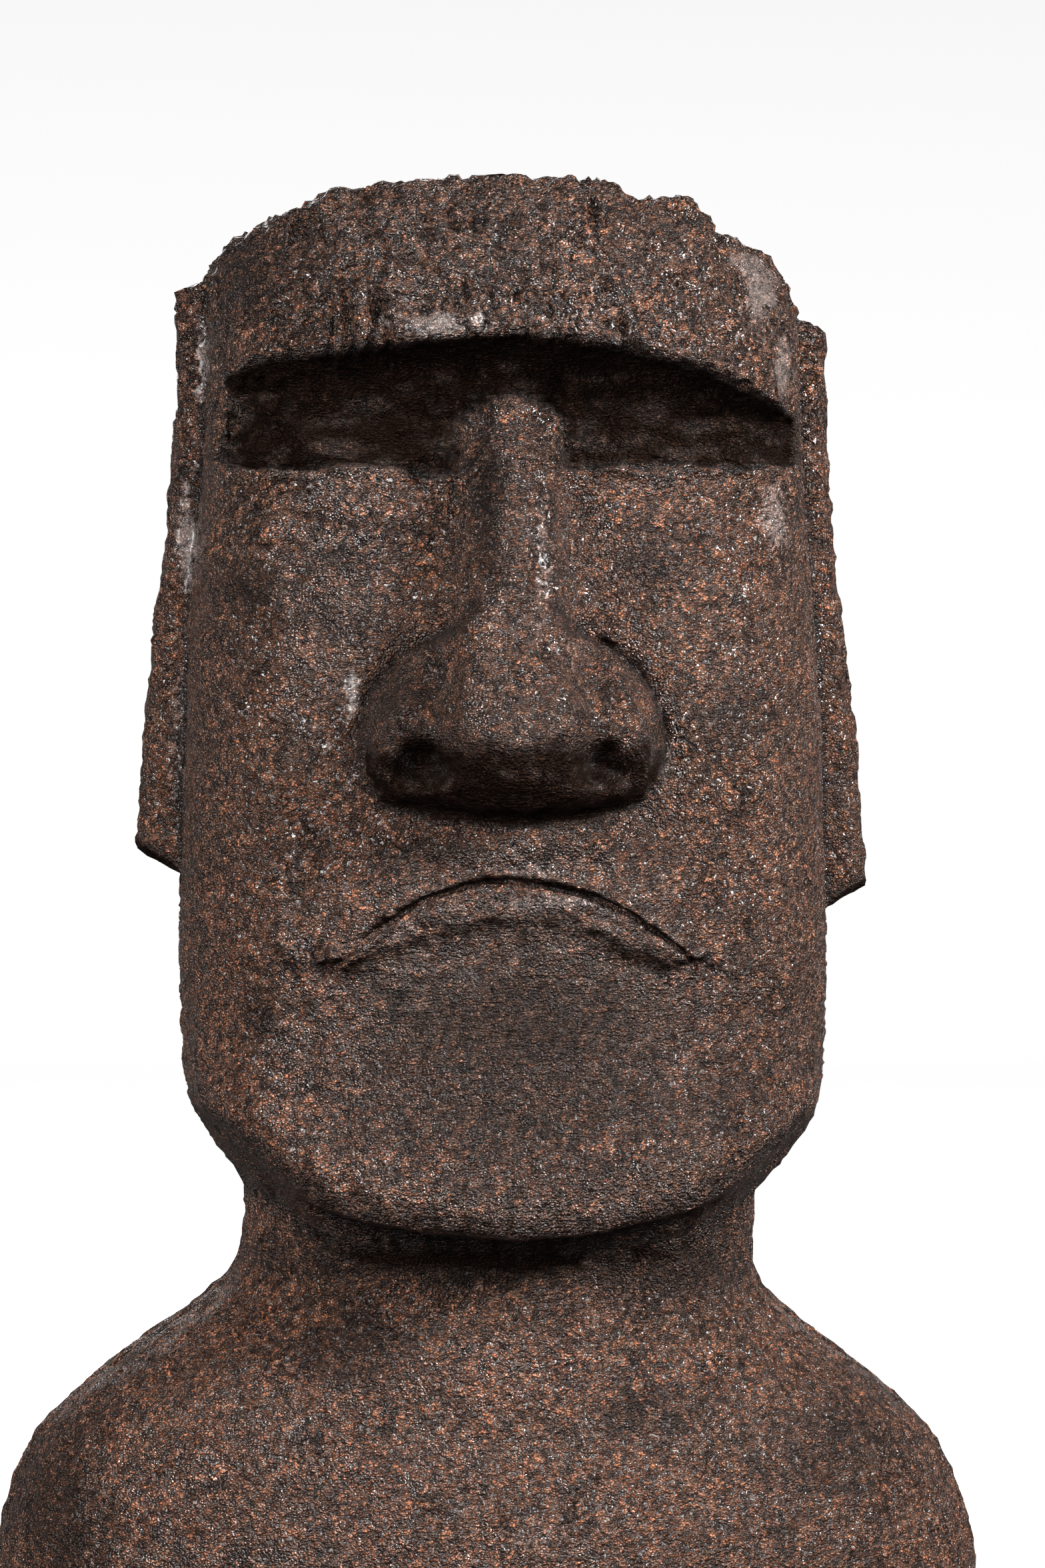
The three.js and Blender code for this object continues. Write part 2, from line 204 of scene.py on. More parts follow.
castMarks = {
    "mouth": [(-66, 300), (-61.6, 304), (-48, 314.5), (-33.4, 325), (-15, 331.5), (-5, 333.6), (5, 333.5),
              (17.5, 331.5), (38, 327), (54, 319.5), (66, 311), (75, 304), (79, 301)],
    "cheekTop": [(-108, 503), (-95, 500), (-80, 499), (-60, 502), (-44, 501), (-30, 497), (-19, 499)],
    "cheekTopRight": [(28, 499), (45, 502), (60, 500), (78, 503), (95, 500), (112, 503)],
    "pits": [  # x, z, half width, half height, depth
        (39, 311, 2.2, 2.2, 1.5), (49, 298, 2, 2, 1.3), (91, 343, 2, 2, 2), (-38, 398, 5, 4.5, 2.6),
        (-68, 298, 4, 3.5, 2.4), (-74, 305, 3, 3, 1.6), (79, 300, 4, 3, 2.4), (85, 297, 3, 3, 1.8),
        (-80, 599, 6, 9, 3), (-90.5, 561, 4, 5, 3), (-81.6, 577, 3.2, 3, 2.2), (38, 604, 3.6, 7, 2.8),
        (42, 558, 3, 3, 2), (48.5, 557.6, 3, 4.5, 2.2), (-85, 470, 5, 3, 2), (-54, 611, 4, 6, 1.4),
        (60, 596, 3, 4, 1.6), (70, 575, 4, 3, 1.4),
    ],
    "bumps": [  # x, z, half width, half height, rise
        (16, 554, 4.5, 4.5, 3.2), (81.5, 548, 3.4, 6, 2.4), (-92, 537, 3.4, 3.4, 2.8),
        (-99.5, 537, 3, 3, 2.6),
        (87, 528.5, 3.4, 3.4, 3), (9, 410, 2.4, 2.4, 0.9), (45, 434, 4, 4, 1.4), (-22, 484, 3.2, 3.2, 1.8),
        (-1.5, 323, 4, 3, 1.1), (-67.5, 305, 3, 3, 2), (79, 303, 4, 2.4, 1.6), (-26, 557, 20, 7, 2.4),
        (-48, 482, 5, 4, 1.1), (-66, 613, 5, 4, 2), (76, 610, 6, 4, 2), (96, 597, 5, 3, 1.8),
    ],
    # glossy spots where highlights fall, which also get a painted sheen
    "gloss": [  # x, z, half width, half height, share
        (108, 578, 14, 30, 1), (118, 545, 7, 18, 0.9), (114, 483, 9, 20, 0.9), (-26, 557, 26, 8, 1),
        (30, 560, 18, 6, 0.5), (17, 466, 6, 36, 0.6), (34, 428, 22, 9, 0.45), (-60, 408, 5, 14, 0.9),
        (-72, 388, 10, 5, 0.5), (67, 378, 4, 7, 0.8), (12, 340, 30, 9, 0.6), (64, 332, 14, 8, 0.5),
        (24, 325, 30, 4, 0.8), (-40, 315, 22, 4, 0.5), (-121, 551, 6, 20, 0.9), (-128, 476, 7, 32, 1),
        (-132, 395, 7, 46, 0.55), (133, 430, 5, 70, 0.5), (135, 350, 5, 24, 0.5), (150, 128, 34, 12, 0.25),
        (16, 66, 32, 12, 0.45), (10, 202, 60, 8, 0.4),
    ],
    # spots of dark paint and of painted shade, such as the unlit left side of the nose's ridge and the neck
    # under the jaw
    "shadeAndDarkSpots": [  # x, z, half width, half height, share
        (-4, 487, 9, 44, 0.55), (-100, 452, 22, 10, 0.5), (-78, 440, 26, 8, 0.45), (-64, 462, 24, 8, 0.4),
        (60, 464, 14, 12, 0.5), (-42, 404, 14, 20, 0.5), (96, 400, 20, 12, 0.4), (90, 250, 26, 20, 0.35),
        (-20, 176, 70, 10, 0.6), (70, 172, 40, 12, 0.5), (-60, 140, 30, 22, 0.4), (-180, 70, 26, 40, 0.4),
        (62, 116, 26, 12, 0.4), (-105, 590, 14, 26, 0.35), (-30, 345, 24, 8, 0.35), (140, 95, 36, 22, 0.35),
        (5, 258, 95, 60, 0.5), (-95, 60, 70, 50, 0.18), (5, 400, 60, 34, 0.22), (5, 470, 24, 50, 0.18),
        (-30, 590, 90, 26, 0.1),
    ],
    "cracks": [  # route, half width, depth
        ([(-84, 483), (-76, 481), (-70, 479), (-58, 478)], 1.2, 1.8),
        ([(-69.8, 570), (-68, 556), (-69, 543)], 1.5, 2.8),
        ([(-64.6, 574), (-62, 558), (-58, 543)], 1.5, 2.8),
        ([(-50, 568), (-52, 556), (-54, 544)], 1.5, 2.8),
        ([(-47, 568), (-46, 556), (-44, 543)], 1.6, 3),
        ([(63, 566), (68, 563), (74, 564), (78, 568)], 1.2, 1.5),
        ([(79, 559), (86, 550), (96, 543), (102, 537)], 1.6, 2.6),
        ([(86, 560), (93, 549), (101, 541)], 1.3, 2),
        ([(-112, 533), (-110, 522), (-106, 512)], 1.1, 1.6),
        ([(-116, 531), (-113, 520), (-108, 510)], 1.1, 1.5),
    ],
    "ridges": [  # route, half width, rise
        ([(-66, 572), (-65, 558), (-66, 543)], 1.6, 2),
        ([(-56, 566), (-57, 556), (-57, 543)], 1.6, 2),
        ([(-45, 597), (-43, 585), (-46, 572)], 2, 1.8),
        ([(-100, 526), (-92, 525)], 0.9, 0.8),
    ],
}

# The carved lines, as places (x, z) from left to right

castCurves = {
    "browLip": [(-110, 541), (-104, 542), (-92, 545.5), (-72, 546.5), (-50, 549), (-20, 552), (5, 554.5),
                (30, 552), (50, 549), (70, 544), (83, 540.5), (95, 536), (105, 532), (125, 524)],
    "cheekEdge": [(-112, 504), (-95, 501), (-80, 500), (-60, 503), (-44, 502), (-30, 498), (-19, 500),
                  (28, 500), (45, 503), (60, 501), (78, 504), (95, 501), (112, 504), (126, 505)],
    "crownDrops": [  # from x, to x, drop
        (-60, -51, 1.6), (-84, -76, 1.2), (53, 72, 3.2), (72, 89, 1.6), (89, 97, 5.5), (97, 128, 4),
    ],
    "noseSide": [  # from the middle, z
        (16, 446), (22, 436), (46, 425), (57, 411), (62, 394), (61, 380), (57, 371),
    ],
}


def along(name, x):  # height of a carved line at x
    line = np.array(castCurves[name], float)
    return np.interp(x, line[:, 0], line[:, 1])


def noseCrease(side):  # the line round the left (-1) or right (1) wing of the nose
    return [(castShape["middle"] + side * reach, level) for reach, level in castCurves["noseSide"]]


# The cast: one piece that keeps the solid's form

def makeCast(node):
    cast = bpy.data.objects.new("moai_cast", node.data.copy())
    bpy.context.collection.objects.link(cast)
    cast.data.materials.clear()
    pickOnly(cast)
    bpy.ops.object.mode_set(mode="EDIT")
    bpy.ops.mesh.select_all(action="SELECT")
    bpy.ops.mesh.remove_doubles(threshold=0.01 * mm)
    bpy.ops.mesh.tris_convert_to_quads(face_threshold=math.pi, shape_threshold=math.pi)
    bpy.ops.mesh.select_mode(type="EDGE")
    bpy.ops.mesh.select_all(action="DESELECT")
    bpy.ops.mesh.edges_select_sharp(sharpness=math.radians(castShape["sharpFrom"]))
    bpy.ops.transform.edge_crease(value=castShape["crease"])
    bpy.ops.object.mode_set(mode="OBJECT")
    rounding = cast.modifiers.new("rounding", "SUBSURF")
    rounding.levels = rounding.render_levels = castShape["levels"]
    bpy.ops.object.modifier_apply(modifier="rounding")
    return cast


def refine(cast, reach):  # splits the faces near the fine marks
    centres = readArray(cast.data.polygons, "center", 3) / mm
    pickOnly(cast)
    chosen = markedBy(centres, reach) & (centres[:, 1] < castShape["frontFrom"])
    choose(cast.data, "polygons", chosen)
    bpy.ops.mesh.subdivide(number_cuts=1)
    bpy.ops.object.mode_set(mode="OBJECT")


def markedBy(places, reach):
    near = np.zeros(len(places), bool)
    for name in ("mouth", "cheekTop", "cheekTopRight"):
        near |= awayFromRoute(castMarks[name], places) < reach + 2
    for mark in castMarks["cracks"] + castMarks["ridges"]:
        near |= awayFromRoute(mark[0], places) < reach
    for spot in castMarks["pits"] + castMarks["bumps"]:
        near |= awayFromSpot((*spot[:2], spot[2] + reach / 2, spot[3] + reach / 2), places) < 1
    for name in ("browLip", "cheekEdge"):
        close = np.abs(places[:, 2] - along(name, places[:, 0])) < reach + 2
        near |= close & (np.abs(places[:, 0]) < castShape["refineHalf"])
    return near


def socketShare(points):  # 1 inside the dark recess under the brow
    x, y, z = points.T
    fromMiddle = np.abs(x - castShape["middle"])
    ragged = 3.4 * patchy(points, 13, 2, 21)
    under = soften(0.6, -1.6, z - along("browLip", x) - ragged)
    left = soften(-7, 7, x + 110 - 0.3 * (z - 520) + 2 * patchy(points, 7, 3, 25))
    right = soften(131, 122, x)
    over = soften(-0.8, 1.2, z - along("cheekEdge", x) - 0.7 * ragged)
    bridge = np.maximum(soften(18, 24, fromMiddle), soften(527, 533, z + 0.02 * fromMiddle ** 2))
    return under * over * bridge * left * right * (y < -20)


def carveFace(clay):  # x, y and z follow the points as they move
    points = clay.points
    x, y, z = points.T
    fromMiddle = np.abs(x - castShape["middle"])
    front = y < castShape["frontFrom"]
    carveBrow(points, fromMiddle, front)
    # the bridge is round, and a crease runs round each wing of the nose
    bridge = soften(*castPlaces["bridgeLow"], z) * soften(*castPlaces["bridgeHigh"], z) * front
    bridge = bridge * castShape["bridgeRound"]
    points[:, 1] += bridge * soften(3, 18, fromMiddle) * soften(24, 19, fromMiddle)
    for side in (-1, 1):
        away = awayFromRoute(noseCrease(side), points) / castShape["noseCreaseHalf"]
        points[:, 1] += front * castShape["noseCrease"] * np.exp(-away ** 2)
        aside, *rest = castShape["wingHollowSpot"]
        hollow = awayFromSpot((castShape["middle"] + side * aside, *rest), points)
        points[:, 1] += front * castShape["wingHollow"] * soften(1.2, 0.5, hollow)
    # steps and chips along the front edge of the crown
    crown = soften(*castPlaces["crown"], z) * soften(*castPlaces["crownBack"], y)
    for x0, x1, drop in castCurves["crownDrops"]:
        inStep = soften(x0 - 2.5, x0 + 1, x) * soften(x1 + 2.5, x1 - 1, x)
        points[:, 2] -= crown * inStep * drop
    chips = soften(0.05, 0.4, patchy(points, 7, 3, 22, (1, 2, 2)))
    points[:, 2] -= crown * castShape["crownChips"] * chips
    # the wings keep a crisp lower rim under their hollows, and the bulb hangs lower than they do
    wing = front * soften(63, 58, fromMiddle) * soften(16, 26, fromMiddle) * soften(-105, -108, y)
    wing = wing * castShape["wingRim"]
    points[:, 1] -= wing * soften(*castPlaces["wingLow"], z) * soften(*castPlaces["wingHigh"], z)
    bulb = soften(*castPlaces["bulbLow"], z) * soften(*castPlaces["bulbHigh"], z) * soften(-122, -132, y)
    points[:, 2] -= bulb * castShape["bulbDrop"] * soften(22, 6, fromMiddle)
    # the upper lip swells out under the nose
    philtrum = front * soften(60, 20, fromMiddle) * soften(*castPlaces["philtrumHigh"], z)
    points[:, 1] -= philtrum * soften(*castPlaces["philtrumLow"], z) * castShape["upperLipSwell"]
    # the jaw ends in a crisp edge, flat below
    jawLine = 190 + 0.002 * fromMiddle ** 2
    under = jawLine - z
    flat = soften(*castPlaces["jawBack"], y) * (under > 0) * soften(15, 11, under)
    points[:, 2] += flat * castShape["jawFlat"] * under
    clay.renew()


def carveBrow(points, fromMiddle, front):  # the recess, its lip and the edge of the cheeks
    x = points[:, 0]
    z = points[:, 2]
    ragged = patchy(points, 12, 2, 20)
    inside = socketShare(points)
    lipLine = along("browLip", x)
    cheekLine = along("cheekEdge", x)
    down = np.clip((lipLine - z) / (lipLine - cheekLine), 0, 1)
    fromBridge = soften(17, 38, fromMiddle)
    depth = castShape["recess"] + castShape["recessAside"] * fromBridge
    depth = depth + castShape["recessLow"] * down * fromBridge
    points[:, 1] += inside * depth
    points[:, 1] += inside * castShape["recessUneven"] * patchy(points, 6, 3, 24, (3, 1, 1))
    lip = np.exp(-((z - lipLine - 5) / 4.5) ** 2) * soften(112, 100, np.abs(x))
    lip = lip * (castShape["browLip"] + castShape["browLipUneven"] * ragged)
    edge = np.exp(-((z - cheekLine + 2.2) / 2) ** 2) * soften(17, 24, fromMiddle)
    torn = patchy(points, 6, 4, 23, (2, 1, 1))
    edge = edge * (castShape["cheekEdge"] + castShape["cheekEdgeUneven"] * torn)
    points[:, 1] -= front * (1 - inside) * (lip + edge)


def sculpt(clay):
    points = clay.points
    front = points[:, 1] < castShape["frontFrom"]
    base = points[:, 2] < 0.05
    # the coat's own unevenness, from broad to fine
    clay.push(castShape["broadWaves"] * patchy(points, 48, 2, 1) - castShape["sunk"])
    rugged = 0.55 + 0.45 * soften(470, 520, points[:, 2])
    clay.push(castShape["waves"] * rugged * patchy(points, 16, 4, 2))
    clay.push(castShape["waves"] * rugged * patchy(points, 6, 3, 3))
    # the coat ran down the forehead in flat tongues, and is drawn in long upright streaks lower down
    tongues = soften(0.0, 0.16, patchy(points, 6, 4, 11, (1, 1, 4)))
    streaks = patchy(points, 3.5, 2, 12, (1, 1, 7))
    high = soften(*castPlaces["foreheadLow"], points[:, 2])
    high = high * soften(*castPlaces["foreheadHigh"], points[:, 2])
    low = soften(*castPlaces["chest"], points[:, 2])
    clay.push(high * castShape["tongues"] * tongues + low * castShape["streaks"] * streaks)
    # flakes that came away, as shallow scars with steep edges, and flakes that stuck
    scars = soften(0.14, 0.22, patchy(points, 12, 5, 4))
    stuck = soften(0.2, 0.27, patchy(points, 8, 4, 5))
    upper = soften(540, 570, points[:, 2])
    clay.push((stuck - scars) * (castShape["flakes"] + castShape["flakesHigh"] * upper))
    # cracks, ridges, pits and bumps
    height = np.zeros(len(points))
    rough = 1 + 0.5 * patchy(points, 4, 2, 6)
    for name, sign in (("cracks", -1), ("ridges", 1)):
        for route, width, size in castMarks[name]:
            height += sign * size * np.exp(-(awayFromRoute(route, points) / width / rough) ** 2)
    for name, sign in (("pits", -1), ("bumps", 1)):
        for spot in castMarks[name]:
            height += sign * spot[4] * soften(1.25, 0.35, awayFromSpot(spot, points) / rough ** 0.5)
    clay.push(height * front)
    # the mouth: a sharp gap below an upper lip that hangs over, and a narrow lower lip
    mouth = np.array(castMarks["mouth"], float)
    line = np.interp(points[:, 0], mouth[:, 0], mouth[:, 1])
    above = points[:, 2] - line
    inMouth = front * soften(8, 0, awayFromRoute(castMarks["mouth"], points) - 6)
    leftEnd, rightEnd = castShape["mouthEnds"]
    inMouth *= (points[:, 0] > leftEnd) & (points[:, 0] < rightEnd)
    gap = -castShape["mouthGap"] * np.exp(-(above / 0.9) ** 2)
    upperLip = castShape["upperLip"] * np.exp(-((above - 2.6) / 1.6) ** 2)
    lowerLip = castShape["lowerLip"] * np.exp(-((above + 2.6) / 1.5) ** 2)
    clay.push(inMouth * (gap + upperLip + lowerLip))
    # nothing stands out of the solid's own box, and the underside stays flat
    clay.points[:] = np.clip(clay.points, np.array(cadLow) / mm, np.array(cadHigh) / mm)
    clay.points[base, 2] = 0
    clay.renew()


# Materials: a small class so that shader maths reads as sums

class Value:

    def __init__(self, paint, socket):
        self.paint = paint
        self.socket = socket

    def other(self, out):  # another output of the same node
        return Value(self.paint, self.socket.node.outputs[out])

    def maths(self, operation, *terms):
        return self.paint.add("Math", {"operation": operation}, dict(enumerate(terms)))

    def __add__(self, other):
        return self.maths("ADD", self, other)

    def __radd__(self, other):
        return self.maths("ADD", other, self)

    def __sub__(self, other):
        return self.maths("SUBTRACT", self, other)

    def __rsub__(self, other):
        return self.maths("SUBTRACT", other, self)

    def __mul__(self, other):
        return self.maths("MULTIPLY", self, other)

    def __rmul__(self, other):
        return self.maths("MULTIPLY", other, self)


class Paint:

    def __init__(self, name):
        self.material = bpy.data.materials.new(name)
        self.material.use_nodes = True
        self.tree = self.material.node_tree
        self.shader = self.tree.nodes["Principled BSDF"]

    def add(self, kind, settings=None, sockets=None, out=0):
        made = self.tree.nodes.new("ShaderNode" + kind)
        for name, setting in (settings or {}).items():
            setattr(made, name, setting)
        for key, value in (sockets or {}).items():
            self.feed(made.inputs[key], value)
        return Value(self, made.outputs[out])

    def feed(self, slot, value):
        if isinstance(value, Value):
            self.tree.links.new(value.socket, slot)
        else:
            slot.default_value = value

    def band(self, value, low, high):  # smooth step from 0 to 1
        return self.add("MapRange", {"interpolation_type": "SMOOTHSTEP"}, {0: value, 1: low, 2: high})

    def blend(self, share, first, second):
        return self.add("Mix", {"data_type": "RGBA"}, {0: share, 6: first, 7: second}, out=2)

    def cloud(self, place, size, detail=2.0, rough=0.5):
        sockets = {"Vector": place, "Scale": 1 / size, "Detail": detail, "Roughness": rough}
        return self.add("TexNoise", {}, sockets)

    def mask(self, name):
        return self.add("Attribute", {"attribute_name": name}, {}, out=2)


paintedStone = {
    "gap": (0.004, 0.002, 0.0014, 1),
    "brown": (0.2, 0.083, 0.045, 1),
    "copper": (0.42, 0.145, 0.07, 1),
    "dust": (0.42, 0.225, 0.14, 1),
    # the colour of the dark paint and of the painted shade
    "darkPaintAndShade": (0.005, 0.0021, 0.0011, 1),
    # a light grey painted as sheen where the varnish shines
    "varnish": (0.4, 0.325, 0.3, 1),
    "grain": 1.15,  # sizes in millimetres, from here to the pores
    "lump": 2.6,
    "clump": 4,
    "flake": 6,
    "line": 1.1,
    "stroke": 0.9,
    "poreSpacing": 15,
    "relief": 1,
    "drift": 1.6,  # how far the grains stray from even cells
    "roughness": 0.3,
    "specular": 0.5,
    "coat": 0.3,
    "coatRoughness": 0.2,
}


def makePaintedStone(values):
    paint = Paint("painted_stone")
    spot = paint.add("TexCoord", {}, {}, out=3)
    place = paint.add("VectorMath", {"operation": "SCALE"}, {0: spot, "Scale": 1 / mm})
    drift = paint.add("TexNoise", {}, {"Vector": place, "Scale": 0.4, "Detail": 1.0}, out=1)
    reach = (values["drift"],) * 3
    drifted = paint.add("VectorMath", {"operation": "MULTIPLY_ADD"}, {0: drift, 1: reach, 2: place})
    grains = {"Vector": drifted, "Scale": 1 / values["grain"]}
    distance = paint.add("TexVoronoi", {}, grains)
    chance = paint.add("SeparateColor", {}, {0: distance.other(1)})
    chanceTwo = chance.other(1)
    lumps = {"Vector": drifted, "Scale": 1 / values["lump"]}
    lump = paint.band(paint.add("TexVoronoi", {}, lumps), 0.7, 0.15)
    top = paint.band(distance, 0.72, 0.15)
    clumps = paint.band(paint.cloud(place, values["clump"], 2.0, 0.6), 0.36, 0.64)
    patches = paint.mask("patch")
    darkPaintAndShade = paint.mask("darkPaintAndShade")
    gritty = paint.mask("gritty")
    cavityShade = paint.mask("cavityShade")
    coppery = paint.mask("copper")
    glossy = paint.mask("gloss")
    flaky = paint.mask("flaky")
    streaky = paint.mask("streak")
    layers = paint.cloud(place, values["flake"], 3.0, 0.6)
    flakes = paint.band(layers, 0.5, 0.54)
    rims = paint.band(layers, 0.44, 0.485) - paint.band(layers, 0.495, 0.53)
    upright = paint.add("VectorMath", {"operation": "MULTIPLY"}, {0: place, 1: (1, 1, 0.05)})
    level = paint.add("VectorMath", {"operation": "MULTIPLY"}, {0: place, 1: (0.06, 1, 1)})
    lines = paint.cloud(upright, values["line"], 1.0)
    strokes = paint.band(paint.cloud(level, values["stroke"], 1.0), 0.54, 0.7)
    pores = paint.add("TexVoronoi", {}, {"Vector": place, "Scale": 1 / values["poreSpacing"]})
    pores = paint.band(pores, 0.075, 0.045)

    raised = top * (0.2 + 0.8 * lump) * (0.5 + 0.5 * flakes)
    colour = paint.blend((0.12 + 0.88 * raised) * (0.25 + 0.75 * clumps), values["gap"], values["brown"])
    dusted = paint.band(chanceTwo + 0.45 * clumps, 0.75, 1.1) * raised
    colour = paint.blend(dusted * 0.5, colour, values["dust"])
    flecks = paint.band(chance + 0.5 * clumps + 0.3 * coppery + 0.35 * patches, 1.1, 1.4) * raised
    colour = paint.blend(flecks * (1 - darkPaintAndShade), colour, values["copper"])
    colour = paint.blend(rims * flaky, colour, values["gap"])
    # painted shade in the hollows, darker the deeper they sink
    colour = paint.blend(paint.band(cavityShade, 0.15, 0.9), colour, values["gap"])
    shineAndSheen = paint.band(glossy + 0.4 * chance + 0.3 * clumps, 0.75, 1.35)
    # painted sheen: a lighter grey where the glossy spots catch highlights
    colour = paint.blend(shineAndSheen * (0.2 + 0.5 * raised), colour, values["varnish"])
    # painted shade over dark paint: undersides, the recess under the brow, the neck under the jaw
    colour = paint.blend(darkPaintAndShade * (0.98 - 0.22 * strokes), colour, values["darkPaintAndShade"])
    colour = paint.blend(pores, colour, values["gap"])
    grit = gritty * (top * 0.95 + lump * 0.35)
    height = grit + flaky * (flakes * 1.1 - rims * 0.9) + streaky * (lines * 1.1)
    height = height + strokes * (0.2 + 0.6 * darkPaintAndShade) - pores * 1.6
    bump = paint.add("Bump", {}, {"Height": height, "Distance": values["relief"] * mm, "Strength": 1.0})
    paint.feed(paint.shader.inputs["Base Color"], colour)
    rough = values["roughness"] - 0.12 * shineAndSheen - 0.12 * chanceTwo + 0.35 * darkPaintAndShade
    paint.feed(paint.shader.inputs["Roughness"], rough)
    # Metallic under the painted shade dulls its reflection, so that it reads darker still
    paint.feed(paint.shader.inputs["Metallic"], darkPaintAndShade * 0.95)
    paint.feed(paint.shader.inputs["Normal"], bump)
    paint.feed(paint.shader.inputs["Specular IOR Level"], values["specular"])
    paint.feed(paint.shader.inputs["Coat Weight"], values["coat"] * shineAndSheen)
    paint.feed(paint.shader.inputs["Coat Roughness"], values["coatRoughness"])
    return paint.material


def addMask(cast, name, values):
    layer = cast.data.attributes.new(name, "FLOAT", "POINT")
    layer.data.foreach_set("value", np.clip(values, 0, 1).astype(np.float32))


def addMasks(cast, clay):
    points = clay.points
    x, y, z = points.T
    fromMiddle = np.abs(x - castShape["middle"])
    front = y < castShape["frontFrom"]
    hollow = ((clay.smoothed(14) - points) * clay.normals).sum(axis=1)
    calm = clay.calmNormals(20)
    facing = soften(0, -0.3, calm[:, 1])
    # undersides get painted shade, darker the more they face down, but not the lip of the brow
    underShadeAndPaint = soften(-0.15, -0.5, calm[:, 2]) * soften(100, 140, z) * (0.45 + 0.55 * soften(230, 330, z))
    aboveLip = soften(-1, 1, z - along("browLip", x)) * soften(585, 575, z) * front
    underShadeAndPaint *= 1 - aboveLip
    # the recess under the brow and the underside of the nose get painted shade over their dark paint,
    # broken up by uneven brush marks
    brushed = soften(-0.1, 0.5, patchy(points, 6, 4, 26, (3, 1, 1)))
    underShadeAndPaint = np.maximum(underShadeAndPaint, socketShare(points) * (1 - 0.22 * brushed))
    shadeUnderNose = soften(396, 382, z + 5 * patchy(points, 8, 3, 15)) * soften(*castPlaces["bulbLow"], z)
    shadeUnderNose = shadeUnderNose * soften(66, 60, fromMiddle) * soften(-106, -112, y)
    brushed = soften(-0.2, 0.4, patchy(points, 5, 3, 27))
    underShadeAndPaint = np.maximum(underShadeAndPaint, shadeUnderNose * (1 - 0.3 * brushed))
    underLip = front * soften(1.2, 0.8, awayFromSpot((6, 297, 68, 34), points))
    # painted shade on the neck just under the jaw
    shadeUnderJaw = soften(190, 180, z) * soften(150, 170, z)
    # spots of glossy varnish with a painted sheen, and spots of dark paint and painted shade
    sheenSpotEdge = 1 + 0.6 * patchy(points, 10, 3, 10)
    gloss = np.zeros(len(points))
    for spot in castMarks["gloss"]:
        gloss = np.maximum(gloss, spot[4] * soften(1.3, 0.1, awayFromSpot(spot, points) * sheenSpotEdge) * facing)
    edged = 1 + 0.9 * patchy(points, 5, 3, 13)
    # spots of dark paint and of painted shade
    shadeAndDarkSpots = np.zeros(len(points))
    for spot in castMarks["shadeAndDarkSpots"]:
        shadeAndDarkSpots = np.maximum(shadeAndDarkSpots, spot[4] * soften(1.3, 0.3, awayFromSpot(spot, points) * edged) * facing)
    # painted shade along the crease round each wing of the nose
    for side in (-1, 1):
        away = awayFromRoute(noseCrease(side), points)
        shadeAndDarkSpots = np.maximum(shadeAndDarkSpots, 0.6 * front * np.exp(-(away / 2.6) ** 2))
    # painted shade in the hollows
    addMask(cast, "cavityShade", 0.8 * soften(0.4, 2.2, hollow))
    addMask(cast, "gritty", 1 - 0.7 * underShadeAndPaint - 0.5 * underLip)
    addMask(cast, "copper", soften(420, 200, z) * (0.4 + 0.6 * soften(60, -80, x)))
    addMask(cast, "gloss", gloss * (1 - underShadeAndPaint))
    addMask(cast, "darkPaintAndShade", underShadeAndPaint + 0.12 * shadeUnderJaw + 0.2 * underLip + shadeAndDarkSpots)
    flakiness = patchy(points, 20, 3, 16) + soften(430, 600, z) - 0.3
    addMask(cast, "flaky", 0.25 + 0.75 * soften(-0.2, 0.3, flakiness))
    addMask(cast, "streak", soften(280, 240, z))
    addMask(cast, "patch", soften(-0.25, 0.35, patchy(points, 24, 4, 14)))


# The studio: a pale round floor that curves up into its wall, soft lights and the camera

studio = {
    "white": (0.4, 0.4, 0.4, 1),
    "glowNear": 0.6,  # under the bust, so that its shadow still shows
    "glowFar": 0.9,
    "glowHigh": 0.68,
    "glowAway": (0.3, 1.6),  # metres from the bust over which near turns to far
    "glowUp": (0.0, 3.5),  # metres up over which that turns to high
    "radius": 7.0,
    "wall": 7.0,
    "curve": 2.5,
    "sides": 96,
    "curveSteps": 20,
    "room": 0.1,
    "aim": (0, 0, 0.4),
    "lights": [  # name, place, width, height, watts
        ("key_softbox", (1.7, -0.9, 1.25), 0.45, 0.55, 145),
        ("fill_softbox", (-1.6, -0.9, 0.95), 0.4, 0.9, 48),
        ("top_softbox", (0.3, -1.4, 2.1), 0.6, 0.4, 14),
        ("front_softbox", (-0.4, -2.4, 0.75), 1.2, 0.9, 88),
        ("back_softbox", (0.0, 2.4, 1.1), 1.2, 0.8, 16),
    ],
}


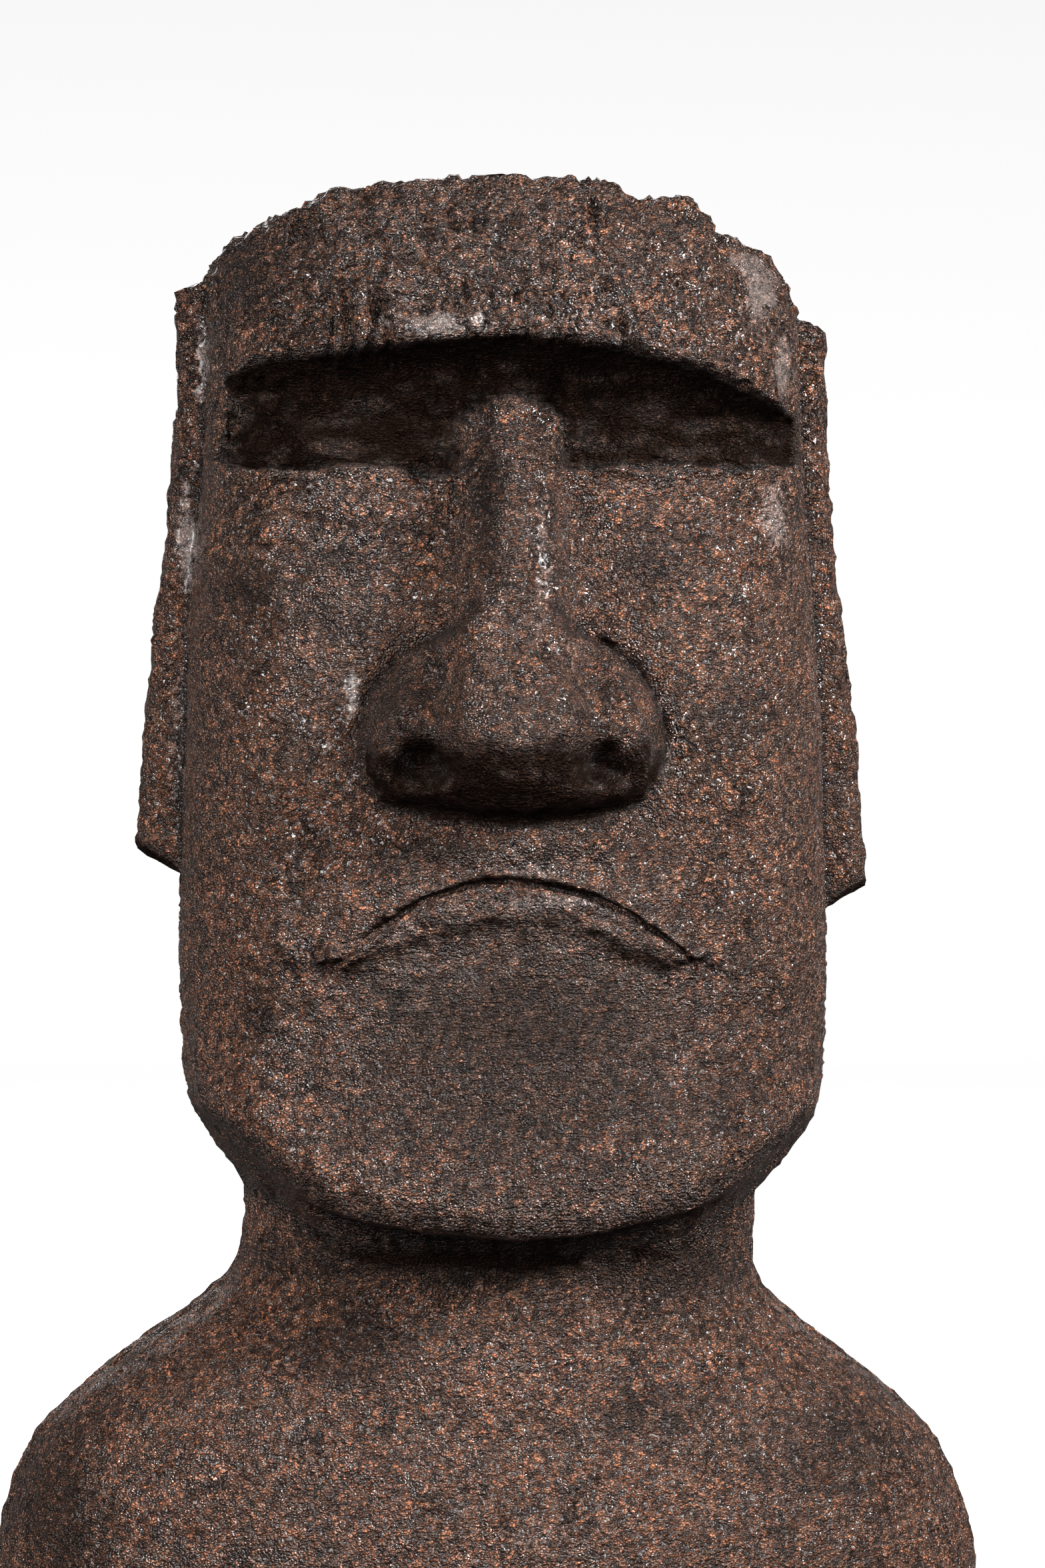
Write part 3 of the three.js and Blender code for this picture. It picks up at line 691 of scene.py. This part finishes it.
def makeBackdrop():
    bpy.ops.object.select_all(action="DESELECT")
    middle = studio["wall"] / 2 - 1 * mm  # the floor is a hair below the bust
    bpy.ops.mesh.primitive_cylinder_add(vertices=studio["sides"], radius=studio["radius"],
                                        depth=studio["wall"], location=(0, 0, middle))
    bowl = bpy.context.object
    bowl.name = "studio_backdrop"
    bpy.ops.object.transform_apply(location=True, rotation=True, scale=True)
    choose(bowl.data, "polygons", [face.center.z > studio["wall"] / 2 + 1 for face in bowl.data.polygons])
    bpy.ops.mesh.delete(type="FACE")
    bpy.ops.object.mode_set(mode="OBJECT")
    low = [vertex.co.z < 1 for vertex in bowl.data.vertices]
    choose(bowl.data, "edges", [all(low[i] for i in edge.vertices) for edge in bowl.data.edges])
    bpy.ops.mesh.bevel(offset=studio["curve"], segments=studio["curveSteps"])
    bpy.ops.object.mode_set(mode="OBJECT")
    bpy.ops.object.shade_smooth()
    paint = Paint("studio_paper")
    spot = paint.add("TexCoord", {}, {}, out=3)
    away = paint.add("VectorMath", {"operation": "LENGTH"}, {0: spot}, out=1)
    lift = paint.add("SeparateXYZ", {}, {0: spot}, out=2)
    near, far, high = [(studio[name],) * 3 + (1,) for name in ("glowNear", "glowFar", "glowHigh")]
    paint.feed(paint.shader.inputs["Base Color"], studio["white"])
    paint.feed(paint.shader.inputs["Roughness"], 1.0)
    paint.feed(paint.shader.inputs["Specular IOR Level"], 0.0)
    glow = paint.blend(paint.band(away, *studio["glowAway"]), near, far)
    glow = paint.blend(paint.band(lift, *studio["glowUp"]), glow, high)
    paint.feed(paint.shader.inputs["Emission Color"], glow)
    paint.feed(paint.shader.inputs["Emission Strength"], 1.0)
    bowl.data.materials.append(paint.material)
    bowl.visible_diffuse = False  # the paper throws no light back on the bust
    bowl.visible_glossy = False


def aimAt(thing, target):
    thing.rotation_euler = (Vector(target) - thing.location).to_track_quat("-Z", "Y").to_euler()


def addSoftbox(name, place, width, height, watts):
    light = bpy.data.lights.new(name, "AREA")
    light.shape = "RECTANGLE"
    light.size = width
    light.size_y = height
    light.energy = watts
    box = bpy.data.objects.new(name, light)
    bpy.context.collection.objects.link(box)
    box.location = place
    aimAt(box, studio["aim"])


def lightStudio():
    world = bpy.data.worlds.new("studio_room")
    bpy.context.scene.world = world
    world.use_nodes = True
    world.node_tree.nodes["Background"].inputs["Color"].default_value = (1, 1, 1, 1)
    world.node_tree.nodes["Background"].inputs["Strength"].default_value = studio["room"]
    for name, place, width, height, watts in studio["lights"]:
        addSoftbox(name, place, width, height, watts)
    bpy.context.scene.view_settings.view_transform = "Standard"


photoView = {
    "turn": math.radians(-2.7),  # round the bust, to its left
    "side": 0.014,  # metres from the bust's middle line to the middle of the picture
    "height": 0.373,
    "distance": 2.2,
    "lens": 118.8,
}


def addCamera():
    turn = photoView["turn"]
    across = Vector((math.cos(turn), math.sin(turn), 0))
    back = Vector((math.sin(turn), -math.cos(turn), 0))
    centre = photoView["side"] * across + Vector((0, 0, photoView["height"]))
    lens = bpy.data.cameras.new("photo_camera")
    lens.lens = photoView["lens"]
    camera = bpy.data.objects.new("photo_camera", lens)
    bpy.context.collection.objects.link(camera)
    camera.location = centre + photoView["distance"] * back
    aimAt(camera, centre)
    bpy.context.scene.camera = camera


addCamera()
lightStudio()
makeBackdrop()
cast = makeCast(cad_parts["moai_bust"])
print("cast rounded:", len(cast.data.polygons), "faces")
refine(cast, castShape["refineReach"])
print("marks refined:", len(cast.data.polygons), "faces")
clay = Clay(cast)
carveFace(clay)
sculpt(clay)
addMasks(cast, clay)
pickOnly(cast)
bpy.ops.object.shade_smooth()
cast.data.materials.append(makePaintedStone(paintedStone))
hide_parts("moai_bust")
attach(cast, "root")
print("cast finished:", sum(len(p.vertices) - 2 for p in cast.data.polygons), "triangles")
